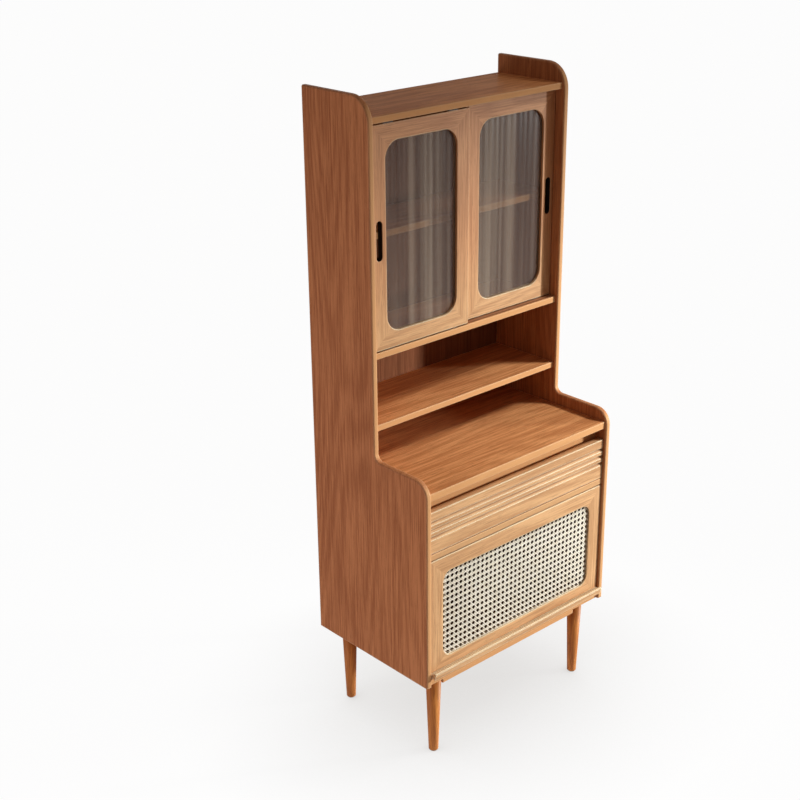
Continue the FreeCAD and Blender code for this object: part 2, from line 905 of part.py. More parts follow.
slide_z = box_z + S.drawer_box_height / 2 - S.slide_height / 2
inner_slide_z = slide_z + S.slide_metal + S.slide_play
inner_slide_height = S.slide_height - 2 * S.slide_metal - 2 * S.slide_play
node(gather("drawer_outer_slides", [
    channel("left_outer_slide", -inner_half, slide_z, S.slide_height, S.slide_outer_reach, True),
    channel(
        "right_outer_slide",
        inner_half - S.slide_outer_reach,
        slide_z,
        S.slide_height,
        S.slide_outer_reach,
        False),
]))
node(gather("drawer_inner_slides", [
    channel(
        "left_inner_slide",
        box_x - S.slide_inner_reach,
        inner_slide_z,
        inner_slide_height,
        S.slide_inner_reach,
        False),
    channel(
        "right_inner_slide",
        box_x + box_width,
        inner_slide_z,
        inner_slide_height,
        S.slide_inner_reach,
        True),
]))

# Flap: mitred frame, cane sheet held by beads, and a hooked pull rail along the foot.
flap_frame = Frame(
    S.flap_frame, S.flap_thick, S.flap_lip, S.flap_rebate, S.flap_window_round, S.board_arris)
flap_x = -inner_half + S.flap_side_gap
flap_y = front + S.face_setback
flap_z = bottom_top + S.flap_foot_gap
flap_width = inner_width - 2 * S.flap_side_gap
flap_height = flap_top - flap_z
pivot_pins = []
pivot_holes = {}
pin_length = S.pivot_in_flap + S.flap_side_gap + S.pivot_in_side
for side, pin_x, hole_x in (
    ("left", -inner_half - S.pivot_in_side, flap_x),
    ("right", inner_half - S.flap_side_gap - S.pivot_in_flap, flap_x + flap_width - S.pivot_in_flap),
):
    pivot_pins.append(rod_along_x(
        f"{side}_pivot_pin", S.pivot_radius, pin_length, (pin_x, pivot_y, pivot_z)))
    pivot_holes[side] = rod_along_x(
        f"{side}_pivot_hole", S.pivot_radius + S.pivot_play, S.pivot_in_flap, (hole_x, pivot_y, pivot_z))
flap_members = mitred_frame("flap", (flap_x, flap_y, flap_z), flap_width, flap_height, flap_frame)
flap_bores = {
    "left_stile": [pivot_holes["left"]],
    "right_stile": [pivot_holes["right"]],
    "top_rail": [pivot_holes["left"], pivot_holes["right"]],
}
for name, member in flap_members.items():
    if name in flap_bores:
        member.Label = f"flap_{name}_blank"
        member = cut(f"flap_{name}_bored", member, flap_bores[name])
        member.Label = f"flap_{name}"
    node(member)
node(gather("flap_pivot_pins", pivot_pins))

pull_depth = S.face_setback + S.pull_out
node(section_along_x(
    "flap_pull_rail",
    [(pull_depth * across, S.pull_height * up) for across, up in PULL_SHARES],
    {},
    flap_width,
    (flap_x, flap_y - pull_depth, flap_z)))

cane_inset = S.flap_frame - S.flap_rebate + S.cane_play
cane_width = flap_width - 2 * cane_inset
cane_height = flap_height - 2 * cane_inset
cane_y = flap_y + S.flap_lip
bead_ring(
    "cane_beads",
    (flap_x + cane_inset, cane_y + S.cane_thick, flap_z + cane_inset),
    cane_width,
    cane_height,
    S.flap_rebate - S.cane_play,
    S.cane_bead_thick)


def cane_sheet():
    """Thin sheet with a grid of square gaps inside the window, left whole at its round corners."""
    width = cane_width.number
    height = cane_height.number
    edge = S.flap_rebate.number - S.cane_play.number
    pitch_x = (width - 2 * edge) / CANE_COLUMNS
    pitch_z = (height - 2 * edge) / CANE_ROWS
    gap_x = pitch_x * CANE_HOLE_SHARE
    gap_z = pitch_z * CANE_HOLE_SHARE
    corner = S.flap_window_round.number * MITRE_SHARE

    def ring(x, z, wide, high):
        spots = [(x, z), (x + wide, z), (x + wide, z + high), (x, z + high), (x, z)]
        return Part.makePolygon([FreeCAD.Vector(a, 0, b) for a, b in spots])

    rings = [ring(0, 0, width, height)]
    for column in range(CANE_COLUMNS):
        for row in range(CANE_ROWS):
            x = edge + pitch_x * column + (pitch_x - gap_x) / 2
            z = edge + pitch_z * row + (pitch_z - gap_z) / 2
            from_side = min(x, width - x - gap_x) - edge
            from_level = min(z, height - z - gap_z) - edge
            if from_side + from_level > 2 * corner:
                rings.append(ring(x, z, gap_x, gap_z))
    face = Part.Face(rings, "Part::FaceMakerBullseye")
    return face.extrude(FreeCAD.Vector(0, S.cane_thick.number, 0))


cane = doc.addObject("Part::Feature", "cane_panel")
cane.Shape = cane_sheet()
place(cane, (flap_x + cane_inset, cane_y, flap_z + cane_inset))
node(cane)

doc.recompute()
for thing in doc.Objects:
    if "Invalid" in thing.State or "Error" in thing.State:
        raise RuntimeError(f"{thing.Label} did not recompute: {thing.State}")
for thing in cuts:
    if thing.Shape.Volume >= thing.Base.Shape.Volume - TINY:
        raise RuntimeError(f"{thing.Label}: its cut removes nothing")
os.makedirs("parts", exist_ok=True)
for thing in nodes:
    shape = thing.Shape
    if shape.isNull() or not shape.isValid():
        raise RuntimeError(f"{thing.Label} has no valid shape")
    shape.exportStep(f"parts/{thing.Label}.step")
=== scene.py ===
import json
import math

import bpy
import numpy as np
from mathutils import Matrix, Vector


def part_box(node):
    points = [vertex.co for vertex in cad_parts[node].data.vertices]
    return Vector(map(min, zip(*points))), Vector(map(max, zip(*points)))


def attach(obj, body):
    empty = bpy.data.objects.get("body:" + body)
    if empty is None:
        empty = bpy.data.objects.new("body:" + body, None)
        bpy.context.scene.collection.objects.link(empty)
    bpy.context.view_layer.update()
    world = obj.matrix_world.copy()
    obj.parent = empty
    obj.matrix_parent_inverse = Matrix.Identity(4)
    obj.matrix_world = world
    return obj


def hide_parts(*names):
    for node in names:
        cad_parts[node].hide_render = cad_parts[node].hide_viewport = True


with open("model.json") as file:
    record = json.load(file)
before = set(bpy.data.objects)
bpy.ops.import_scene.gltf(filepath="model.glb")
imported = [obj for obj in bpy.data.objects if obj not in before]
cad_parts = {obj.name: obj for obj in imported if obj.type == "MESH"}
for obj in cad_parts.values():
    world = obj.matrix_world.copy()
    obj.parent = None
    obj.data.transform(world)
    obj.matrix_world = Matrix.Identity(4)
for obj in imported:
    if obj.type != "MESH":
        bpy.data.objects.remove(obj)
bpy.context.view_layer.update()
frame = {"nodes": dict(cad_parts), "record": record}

X_AXIS, Y_AXIS, Z_AXIS = range(3)
WHITE = (1.0, 1.0, 1.0, 1.0)

# Camera, in metres in the part's own frame.
IMAGE_SIDE = 800
FOCAL_PIXELS = 1405.45
SENSOR_WIDTH = 36.0
CAMERA_PLACE = Vector((-2.23123, -2.2329, 2.11141))
CAMERA_TURN = math.radians(42.027)
CAMERA_DOWN = math.radians(22.388)
CAMERA_ROLL = math.radians(-0.618)
CAMERA_REACH = 200.0

# Lamps, with places and sizes in metres: a soft spot from the right of the front, little higher
# than the counter, a softer spot from high above the front, and a broad warm panel low beside the
# left side.
SPOT_TONE = (1.0, 1.0, 0.97)
LAMPS = {
    "key_lamp": dict(
        kind="SPOT", place=(3.44, -2.36, 1.05), aim=(0.0, -0.15, 0.53), energy=915.0,
        color=SPOT_TONE, shadow_soft_size=0.15, spot_size=math.radians(35.0), spot_blend=1.0),
    "counter_lamp": dict(
        kind="SPOT", place=(1.75, -1.25, 3.00), aim=(0.05, -0.15, 0.62), energy=272.0,
        color=SPOT_TONE, shadow_soft_size=0.30, spot_size=math.radians(30.0), spot_blend=1.0),
    "fill_lamp": dict(
        kind="AREA", place=(-2.3, 0.5, 0.3), aim=(-0.3, 0.0, 0.35), energy=20.5,
        color=(1.0, 0.80, 0.82), size=1.6),
}

# Light from all round, and the floor, in metres.
WORLD_LIGHT = 0.20
WORLD_TONE = (1.0, 0.72, 0.58, 1.0)
FLOOR_SIDE = 80.0
FLOOR_DROP = 0.0002
FLOOR_GLOW = 0.97
FLOOR_TONE = (0.92, 0.92, 0.92, 1.0)
FLOOR_SHADE = (0.62, 0.60, 0.58, 1.0)
FLOOR_SHADE_REACH = 0.5
FLOOR_SHADE_SAMPLES = 12
SEEN_RAYS = ("Is Camera Ray", "Is Glossy Ray", "Is Transmission Ray")

# Woven cane, in metres. The room for a pair of strands at each end is a share of the pitch.
CANE_PITCH = 0.0144
PAIR_OFFSET = 0.0015
PAIR_ROOM = 0.3
STRAND_WIDTH = 0.0021
SLANT_WIDTH = 0.0018
STRAND_THICK = 0.0005
SLANT_THICK = 0.0003
LAYER = 0.0006
SLANT_LAYER = 0.0002
WAVE = 0.00012
STEPS_PER_PITCH = 4
DIAGONAL = math.sqrt(0.5)

# Turned legs, in metres.
LEG_FOOT = 0.012
LEG_ROUND = 0.002
LEG_BEND_STEPS = 5
LEG_SIDES = 64

# Wood: patterns, with their scales along and across the grain.
BANDS = dict(scale=(1.3, 11.0), detail=3.0, roughness=0.55, distortion=0.5)
GROWTH = dict(scale=(0.8, 6.5), detail=1.0, roughness=0.4, distortion=0.2)
STREAKS = dict(scale=(4.0, 150.0), detail=3.0, roughness=0.6, distortion=0.2)
LINES = dict(scale=(9.0, 430.0), detail=3.0, roughness=0.6)
PORES = dict(scale=(30.0, 1100.0), detail=2.0, roughness=0.5)

# Wood: the middle of a pattern, which runs from 0 to 1, and what the patterns add to shade,
# roughness and relief.
MIDDLE = 0.5
GROWTH_TURNS = 95.0
GROWTH_SHARE = 0.5
STREAK_SHARE = 2.0
LINE_SHARE = 3.4
FLECK_RANGE = (0.58, 0.70)
FLECK_SHARE = 0.8
FLECK_TONE = 0.42
STREAK_ROUGHNESS = 0.10
FLECK_ROUGHNESS = 0.08
STREAK_RELIEF = 0.4
WOOD_BUMP = dict(strength=0.15, distance=0.0004)

# Eased edges of the wood: how far in they reach, in metres, how far the normal turns there, and
# the painted highlight on them, a paler tone: a least tone, which the level pieces of doors,
# drawer and flap have of their own, and a share of the wood's.
ARRIS_REACH = 0.0040
ARRIS_SAMPLES = 4
ARRIS_TURN = (0.004, 0.06)
HIGHLIGHT_LEAST = (0.38, 0.37, 0.26)
LEVEL_HIGHLIGHT_LEAST = (0.43, 0.55, 0.44)
HIGHLIGHT_GAIN = 0.62

# Mitres: how evenly the normal tilts up and sideways there, and the least tilt that counts.
MITRE_SLANT = (0.30, 0.46)
LEAST_TILT = 1e-5

# Walls of the doors' finger slots, where dark painted shade goes, in metres, with a little room
# round them.
SLOT_X = 0.2805
SLOT_Z = 1.2655
SLOT_HALF_WIDTH = 0.0095
SLOT_HALF_LENGTH = 0.0470
SLOT_FRONT = -0.0062
LANE_PITCH = 0.0175
SLOT_PAINTED_SHADE = (0.020, 0.014, 0.010, 1.0)

# Between these heights, in metres, painted shade grows on the doors' veneer, making it darker and
# redder than the drawer's and flap's towards the top.
DOOR_SHADE_RISE = (1.00, 1.25)
DOOR_PAINTED_SHADE = (0.94, 0.80, 0.75, 1.0)

# Edge strips on the fronts of side panels and boards, and on the divider's front.
FRONT_FACING = (0.60, 0.90)
EDGE_TONE = (0.66, 0.370, 0.170, 1.0)
DIVIDER_EDGE_TONE = (0.576, 0.361, 0.185, 1.0)

# Painted shade, dark, in the cupboard behind the flap. The room round its faces, and round the
# divider, is in metres.
FACE_ROOM = 0.0005
SHADE_FRONT = -0.166
CUPBOARD_SHADE_SHARE = 0.90
CUPBOARD_PAINTED_SHADE = (0.040, 0.023, 0.015, 1.0)

# Glass: patterns, what they add to the tint, the tints from dark to pale, and the cover.
GLASS_DRIFT = dict(scale=(14.0, 1.0, 0.6), detail=2.0, roughness=0.5)
GLASS_BROAD = dict(scale=(21.0, 1.0, 0.30), detail=2.0, roughness=0.45)
GLASS_FINE = dict(scale=(150.0, 1.0, 0.45), detail=3.0, roughness=0.65)
RIPPLE_TURNS = 330.0
RIPPLE_DRIFT = 9.0
RIPPLE_SHARE = 0.02
BROAD_RANGE = (0.32, 0.68)
BROAD_SHARE = 0.62
FINE_RANGE = (0.30, 0.70)
FINE_SHARE = 0.34
GLASS_STOPS = (
    (0.0, (0.090, 0.058, 0.052)),
    (0.5, (0.215, 0.155, 0.124)),
    (1.0, (0.40, 0.325, 0.255)))
GLASS_COVER_LEAST = 0.26
GLASS_COVER_GAIN = 0.20
GLASS_ROUGHNESS = 0.18
GLASS_SHEEN = 0.35
GLASS_BUMP = dict(strength=0.2, distance=0.0006)

# Cane: patterns and tones from brown to cream.
CANE_PATCHES = dict(scale=(60.0, 60.0, 60.0), detail=3.0, roughness=0.6)
CANE_FIBRES = dict(scale=(900.0, 900.0, 900.0), detail=2.0, roughness=0.6)
PATCH_SHARE = 0.7
FIBRE_SHARE = 0.3
CANE_STOPS = (
    (0.25, (0.70, 0.62, 0.46)),
    (0.45, (0.84, 0.79, 0.66)),
    (0.75, (0.88, 0.85, 0.77)))
CANE_ROUGHNESS = 0.5
FIBRE_ROUGHNESS = 0.15
CANE_BUMP = dict(strength=0.3, distance=0.0002)

# Metal.
METAL_LINES = dict(scale=(40.0, 1200.0, 1200.0), detail=2.0, roughness=0.5)
METAL_PATCHES = dict(scale=(70.0, 70.0, 70.0), detail=3.0, roughness=0.6)
METAL_PATCH_RANGE = (0.3, 0.7)
METAL_LINE_ROUGHNESS = 0.12
METAL_PATCH_ROUGHNESS = 0.08
METAL_BUMP = dict(strength=0.15, distance=0.0002)

# Nylon.
NYLON_GRAIN = dict(scale=(600.0, 600.0, 600.0), detail=3.0, roughness=0.6)
NYLON_CLOUD = dict(scale=(25.0, 25.0, 25.0), detail=2.0, roughness=0.5)
NYLON_ROUGHNESS = 0.45
NYLON_GRAIN_ROUGHNESS = 0.2
NYLON_BUMP = dict(strength=0.25, distance=0.0002)


class Value:
    """A number that varies over a surface; sums and products of it add Math nodes."""

    def __init__(self, finish, socket):
        self.finish = finish
        self.socket = socket

    def math(self, operation, *others):
        return self.finish.math(operation, self, *others)

    def __add__(self, other):
        return self.math("ADD", other)

    def __sub__(self, other):
        return self.math("SUBTRACT", other)

    def __rsub__(self, other):
        return self.finish.math("SUBTRACT", other, self)

    def __mul__(self, other):
        return self.math("MULTIPLY", other)

    def __truediv__(self, other):
        return self.math("DIVIDE", other)

    def __neg__(self):
        return self.math("MULTIPLY", -1.0)

    def __abs__(self):
        return self.math("ABSOLUTE")

    def sign(self):
        return self.math("SIGN")

    def sine(self):
        return self.math("SINE")

    def above(self, limit):
        """1 where it is more than the limit, and 0 elsewhere."""
        return self.math("GREATER_THAN", limit)

    def below(self, limit):
        """1 where it is less than the limit, and 0 elsewhere."""
        return self.math("LESS_THAN", limit)

    def within(self, low, high):
        """Rises smoothly from 0 at low to 1 at high."""
        made = self.finish.node(
            "ShaderNodeMapRange",
            {"interpolation_type": "SMOOTHSTEP"},
            {"Value": self, "From Min": low, "From Max": high})
        return Value(self.finish, made.outputs["Result"])


class Finish:
    """The shader of one material or world, built node by node."""

    def __init__(self, holder):
        self.holder = holder
        holder.use_nodes = True
        self.tree = holder.node_tree
        self.tree.nodes.clear()

    def node(self, kind, settings=None, sockets=None):
        """Adds a node: its settings first, then the values or links of its sockets."""
        made = self.tree.nodes.new(kind)
        for field, setting in (settings or {}).items():
            setattr(made, field, setting)
        for key, content in (sockets or {}).items():
            socket = made.inputs[key]
            if isinstance(content, Value):
                content = content.socket
            if isinstance(content, bpy.types.NodeSocket):
                self.tree.links.new(content, socket)
            else:
                socket.default_value = content
        return made

    def math(self, operation, *inputs):
        made = self.node("ShaderNodeMath", {"operation": operation}, dict(enumerate(inputs)))
        return Value(self, made.outputs[0])

    def place(self):
        """Where a point lies in the part's frame."""
        return self.node("ShaderNodeTexCoord").outputs["Object"]

    def split(self, vector):
        """The three parts of a place or direction."""
        made = self.node("ShaderNodeSeparateXYZ", {}, {0: vector})
        return [Value(self, part) for part in made.outputs]

    def noise(self, scale, detail, roughness, distortion=0.0, grain=None):
        """A pattern from 0 to 1. scale has three parts, or two along and across the grain."""
        if grain is not None:
            along, across = scale
            scale = tuple(along if axis == grain else across for axis in range(3))
        spread = self.node("ShaderNodeMapping", {}, {"Vector": self.place(), "Scale": scale})
        made = self.node(
            "ShaderNodeTexNoise",
            {},
            {
                "Vector": spread.outputs["Vector"],
                "Scale": 1.0,
                "Detail": detail,
                "Roughness": roughness,
                "Distortion": distortion,
            })
        return Value(self, made.outputs[0])

    def blend(self, share, first, second, way="MIX"):
        """Colour between two colours, by share. The node has sockets 6 and 7 for colours."""
        made = self.node(
            "ShaderNodeMix",
            {"data_type": "RGBA", "blend_type": way},
            {0: share, 6: first, 7: second})
        return made.outputs[2]

    def between(self, share, first, second):
        """Direction between two directions, by share. The node has sockets 4 and 5 for them."""
        made = self.node(
            "ShaderNodeMix", {"data_type": "VECTOR"}, {0: share, 4: first, 5: second})
        return made.outputs[1]

    def ramp(self, share, stops):
        """Colour by share, between stops that are pairs of a share and a colour."""
        made = self.node("ShaderNodeValToRGB", {}, {0: share})
        marks = made.color_ramp.elements
        while len(marks) < len(stops):
            marks.new(1.0)
        for mark, (place, colour) in zip(marks, stops):
            mark.position = place
            mark.color = opaque(colour)
        return made.outputs[0]

    def bump(self, height, strength, distance, normal=None):
        sockets = {"Strength": strength, "Distance": distance, "Height": height}
        if normal is not None:
            sockets["Normal"] = normal
        return self.node("ShaderNodeBump", {}, sockets).outputs["Normal"]

    def surface(self, sockets):
        """Closes the material with one main shader."""
        shader = self.node("ShaderNodeBsdfPrincipled", {}, sockets)
        self.node("ShaderNodeOutputMaterial", {}, {"Surface": shader.outputs[0]})
        return self.holder


def new_finish(name):
    return Finish(bpy.data.materials.new(name))


def opaque(colour):
    return (*colour, 1.0)


def inside_slot(finish):
    """1 on the walls of the doors' finger slots, behind the front faces, and 0 elsewhere."""
    across, depth, height = finish.split(finish.place())
    beside = abs(abs(across) - SLOT_X).below(SLOT_HALF_WIDTH)
    along = abs(height - SLOT_Z).below(SLOT_HALF_LENGTH)
    behind = (depth - across.above(0.0) * LANE_PITCH).above(SLOT_FRONT)
    return beside * along * behind


def arris_share(finish, eased, flat):
    """1 along an arris, where the eased normal turns away from the flat one, and 0 elsewhere."""
    turned = finish.node(
        "ShaderNodeVectorMath", {"operation": "DOT_PRODUCT"}, {0: eased, 1: flat})
    return (1.0 - Value(finish, turned.outputs["Value"])).within(*ARRIS_TURN)


def frame_corner(finish):
    """1 in the upper right and lower left quarters of each door and of the flap, and -1 in the
    other two."""
    across, _, height = finish.split(finish.place())
    door_low, door_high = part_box("right_door_glass")
    flap_low, flap_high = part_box("cane_panel")
    door_middle = (door_low + door_high) / 2
    flap_middle = (flap_low + flap_high) / 2
    on_door = height.above((door_middle.z + flap_middle.z) / 2)
    beside = across - across.sign() * on_door * door_middle.x
    above = height - (on_door * (door_middle.z - flap_middle.z) + flap_middle.z)
    return (beside * above).sign()


def mitre_share(finish, eased, flat):
    """1 along a mitre and 0 elsewhere.

    There the eased normal tilts as much up as sideways. Round the window's corners it does so
    too, but the other way."""
    tilt = finish.node("ShaderNodeVectorMath", {"operation": "SUBTRACT"}, {0: eased, 1: flat})
    sideways, _, upward = finish.split(tilt.outputs[0])
    tilted = sideways * sideways + upward * upward + LEAST_TILT
    slant = -(sideways * upward * frame_corner(finish)) / tilted
    return slant.within(*MITRE_SLANT)


def faces_front(finish, normal):
    """1 on faces that look to the front and 0 elsewhere."""
    return (-finish.split(normal)[Y_AXIS]).within(*FRONT_FACING)


def on_divider(finish):
    """1 on the divider board, between the side panels, and 0 elsewhere."""
    across, _, height = finish.split(finish.place())
    low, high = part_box("divider_board")
    beside = abs(across).below(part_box("right_side_panel")[0].x)
    return beside * height.above(low.z - FACE_ROOM) * height.below(high.z + FACE_ROOM)


def inside_cupboard(finish):
    """1 on the faces of the cupboard behind the flap and 0 elsewhere."""
    across, depth, height = finish.split(finish.place())
    beside = abs(across).below(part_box("right_side_panel")[0].x + FACE_ROOM)
    behind = depth.above(SHADE_FRONT)
    before = depth.below(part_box("lower_back_panel")[0].y + FACE_ROOM)
    above = height.above(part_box("bottom_board")[1].z - FACE_ROOM)
    below = height.below(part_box("divider_board")[0].z + FACE_ROOM)
    return beside * behind * before * above * below


def veneer(name, grain, pale, deep, streak=0.5, gloss=0.45, highlight_share=0.6, sheen=0.22,
           highlight_least=HIGHLIGHT_LEAST, edge=0.0, doors=False, cupboard_shade=False):
    """Wood with bands, wavy growth lines, streaks, lines and pores along the grain, and painted
    highlights along the arrises.

    edge is the share of the strip on front faces. doors adds the mitres, and painted shade in the
    finger slots and towards the tops of the doors; the cupboard flag adds painted shade in the
    cupboard."""
    finish = new_finish(name)
    bands, growth, streaks, lines, pores = (
        finish.noise(grain=grain, **pattern)
        for pattern in (BANDS, GROWTH, STREAKS, LINES, PORES))
    waves = (growth * GROWTH_TURNS).sine() * MIDDLE + MIDDLE
    flecks = pores.within(*FLECK_RANGE)
    shade = bands - MIDDLE
    for pattern, share in ((waves, GROWTH_SHARE), (streaks, STREAK_SHARE), (lines, LINE_SHARE)):
        shade = shade + (pattern - MIDDLE) * (share * streak)
    tone = finish.blend((shade + MIDDLE).within(0.0, 1.0), opaque(pale), opaque(deep))
    dark = tuple(FLECK_TONE * part for part in deep)
    colour = finish.blend(flecks * (FLECK_SHARE * streak), tone, opaque(dark))

    eased = finish.node(
        "ShaderNodeBevel", {"samples": ARRIS_SAMPLES}, {"Radius": ARRIS_REACH}).outputs[0]
    flat = finish.node("ShaderNodeNewGeometry").outputs["Normal"]
    arris = arris_share(finish, eased, flat)
    if doors:
        mitre = mitre_share(finish, eased, flat)
        arris = arris * (1.0 - mitre)
        eased = finish.between(mitre, eased, flat)
    if edge:
        strip = finish.blend(on_divider(finish), EDGE_TONE, DIVIDER_EDGE_TONE)
        colour = finish.blend(faces_front(finish, flat) * edge, colour, strip)
    # Painted highlight: the arrises are paled towards a lighter tone.
    highlight_tone = tuple(least + HIGHLIGHT_GAIN * part for least, part in zip(highlight_least, pale))
    colour = finish.blend(arris * highlight_share, colour, opaque(highlight_tone))
    if doors:
        # Painted shade: the doors' veneer is multiplied darker and redder towards their tops.
        door_shade_share = finish.split(finish.place())[Z_AXIS].within(*DOOR_SHADE_RISE)
        colour = finish.blend(door_shade_share, colour, DOOR_PAINTED_SHADE, "MULTIPLY")
        # Painted shade: the walls of the finger slots are coloured near black.
        colour = finish.blend(inside_slot(finish), colour, SLOT_PAINTED_SHADE)
    if cupboard_shade:
        # Painted shade: the cupboard's faces are darkened towards near black.
        colour = finish.blend(inside_cupboard(finish) * CUPBOARD_SHADE_SHARE, colour, CUPBOARD_PAINTED_SHADE)

    roughness = streaks * STREAK_ROUGHNESS + (gloss - STREAK_ROUGHNESS / 2)
    return finish.surface({
        "Base Color": colour,
        "Roughness": roughness + flecks * FLECK_ROUGHNESS,
        "Normal": finish.bump(streaks * STREAK_RELIEF - flecks, normal=eased, **WOOD_BUMP),
        "Specular IOR Level": sheen,
    })


def rippled_glass(name):
    """Tinted glass with uneven upright ripples, broad and fine, that carry tint and cover."""
    finish = new_finish(name)
    drift, broad, fine = (
        finish.noise(**pattern) for pattern in (GLASS_DRIFT, GLASS_BROAD, GLASS_FINE))
    across = finish.split(finish.place())[X_AXIS]
    ripple = (across * RIPPLE_TURNS + drift * RIPPLE_DRIFT).sine()
    share = broad.within(*BROAD_RANGE) * BROAD_SHARE + fine.within(*FINE_RANGE) * FINE_SHARE
    share = share + ripple * RIPPLE_SHARE + RIPPLE_SHARE
    return finish.surface({
        "Base Color": finish.ramp(share, GLASS_STOPS),
        "Roughness": GLASS_ROUGHNESS,
        "Normal": finish.bump(ripple, **GLASS_BUMP),
        "Alpha": share * GLASS_COVER_GAIN + GLASS_COVER_LEAST,
        "Specular IOR Level": GLASS_SHEEN,
    })


def cane(name):
    """Dry cane: cream with fine fibres and a few browner patches."""
    finish = new_finish(name)
    patches = finish.noise(**CANE_PATCHES)
    fibres = finish.noise(**CANE_FIBRES)
    return finish.surface({
        "Base Color": finish.ramp(patches * PATCH_SHARE + fibres * FIBRE_SHARE, CANE_STOPS),
        "Roughness": fibres * FIBRE_ROUGHNESS + CANE_ROUGHNESS,
        "Normal": finish.bump(fibres, **CANE_BUMP),
    })


def drawn_metal(name, pale, deep, roughness):
    """Metal with fine drawing lines and dull patches."""
    finish = new_finish(name)
    lines = finish.noise(**METAL_LINES)
    patches = finish.noise(**METAL_PATCHES)
    dulled = patches.within(*METAL_PATCH_RANGE)
    roughness = lines * METAL_LINE_ROUGHNESS + roughness
    return finish.surface({
        "Base Color": finish.blend(dulled, opaque(pale), opaque(deep)),
        "Metallic": 1.0,
        "Roughness": roughness + patches * METAL_PATCH_ROUGHNESS,
        "Normal": finish.bump(lines, **METAL_BUMP),
    })


def moulded_nylon(name, pale, deep):
    """Nylon with a faint moulded grain."""
    finish = new_finish(name)
    grain = finish.noise(**NYLON_GRAIN)
    cloud = finish.noise(**NYLON_CLOUD)
    return finish.surface({
        "Base Color": finish.blend(cloud, opaque(pale), opaque(deep)),
        "Roughness": grain * NYLON_GRAIN_ROUGHNESS + NYLON_ROUGHNESS,
        "Normal": finish.bump(grain, **NYLON_BUMP),
    })


# Each material slot of the part: how it is made and its own values.
LOOKS = {
    "side_veneer": (veneer, dict(
        grain=Z_AXIS, pale=(0.58, 0.259, 0.112), deep=(0.365, 0.138, 0.055), streak=0.6,
        sheen=0.05, edge=0.9, cupboard_shade=True)),
    "board_veneer": (veneer, dict(
        grain=X_AXIS, pale=(0.74, 0.350, 0.142), deep=(0.51, 0.205, 0.076), streak=0.8,
        highlight_share=0.8, sheen=0.01, edge=0.8, cupboard_shade=True)),
    # The back's tones are darker than the other wood's: partly its own tone, partly painted shade
    # for the niche and cupboard in front of it.
    "back_veneer": (veneer, dict(
        grain=Z_AXIS, pale=(0.25, 0.094, 0.042), deep=(0.15, 0.052, 0.022),
        gloss=0.6, sheen=0.05, cupboard_shade=True)),
    "upright_veneer": (veneer, dict(
        grain=Z_AXIS, pale=(0.68, 0.415, 0.210), deep=(0.48, 0.260, 0.122), streak=0.6,
        sheen=0.14, doors=True)),
    "level_veneer": (veneer, dict(
        grain=X_AXIS, pale=(0.68, 0.415, 0.210), deep=(0.48, 0.260, 0.122), streak=0.6,
        highlight_share=1.0, sheen=0.14, highlight_least=LEVEL_HIGHLIGHT_LEAST, doors=True)),
    "turned_wood": (veneer, dict(
        grain=Z_AXIS, pale=(0.64, 0.255, 0.060), deep=(0.38, 0.130, 0.030))),
    "plain_wood": (veneer, dict(
        grain=Y_AXIS, pale=(0.70, 0.53, 0.35), deep=(0.56, 0.39, 0.23), streak=0.4, gloss=0.6)),
    "reeded_glass": (rippled_glass, {}),
    "woven_cane": (cane, {}),
    "steel": (drawn_metal, dict(
        pale=(0.66, 0.66, 0.67), deep=(0.50, 0.50, 0.52), roughness=0.30)),
    "brass": (drawn_metal, dict(
        pale=(0.80, 0.60, 0.30), deep=(0.62, 0.44, 0.20), roughness=0.28)),
    "brown_nylon": (moulded_nylon, dict(
        pale=(0.42, 0.19, 0.085), deep=(0.30, 0.125, 0.055))),
    "dark_nylon": (moulded_nylon, dict(
        pale=(0.085, 0.058, 0.042), deep=(0.045, 0.030, 0.022))),
}
finishes = {name: make(name, **values) for name, (make, values) in LOOKS.items()}
for row in frame["record"]["subparts"]:
    for holder in frame["nodes"][row["node"]].material_slots:
        holder.material = finishes[row["material_slot"]]


def make_piece(name, points, faces, body, slot):
    """A mesh piece from an array of points and a list or array of faces, riding on a body."""
    mesh = bpy.data.meshes.new(name)
    mesh.from_pydata(points.tolist(), [], [list(face) for face in faces])
    mesh.polygons.foreach_set("use_smooth", np.ones(len(mesh.polygons), bool))
    mesh.materials.append(finishes[slot])
    piece = bpy.data.objects.new(name, mesh)
    bpy.context.scene.collection.objects.link(piece)
    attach(piece, body)
    return piece


def strands(path, side, width, thick):
    """Flat strands: a six-sided lens section carried along each path.

    path has the shape (strand, step, 3) and side (strand, 3). A point of the section is the
    path's point, plus the side times a share of the width, plus Y times a share of the
    thickness."""
    across = np.array([-0.5, -0.25, 0.25, 0.5, 0.25, -0.25]) * width
    out = np.array([0.0, -0.5, -0.5, 0.0, 0.5, 0.5]) * thick
    count, steps, _ = path.shape
    ring = len(across)
    points = path[:, :, None, :] + side[:, None, None, :] * across[None, None, :, None]
    points[..., Y_AXIS] += out
    index = np.arange(count * steps * ring).reshape(count, steps, ring)
    after = np.roll(index, -1, axis=2)
    walls = np.stack([index[:, :-1], after[:, :-1], after[:, 1:], index[:, 1:]], -1)
    foot = index[:, 0, ::-1]
    head = index[:, -1]
    caps = [end[:, corners] for end in (foot, head) for corners in ([0, 1, 2, 3], [0, 3, 4, 5])]
    return points.reshape(-1, 3), np.concatenate([walls.reshape(-1, 4), *caps])


def lattice(low, high):
    """Multiples of the pitch about the middle of a span, with room for a pair inside it."""
    middle = (low + high) / 2
    reach = int((high - low) / 2 / CANE_PITCH - PAIR_ROOM)
    return middle, middle + np.arange(-reach, reach + 1) * CANE_PITCH


cane_low, cane_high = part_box("cane_panel")
sheet_y = (cane_low.y + cane_high.y) / 2
middle_x, columns = lattice(cane_low.x, cane_high.x)
middle_z, rows = lattice(cane_low.z, cane_high.z)


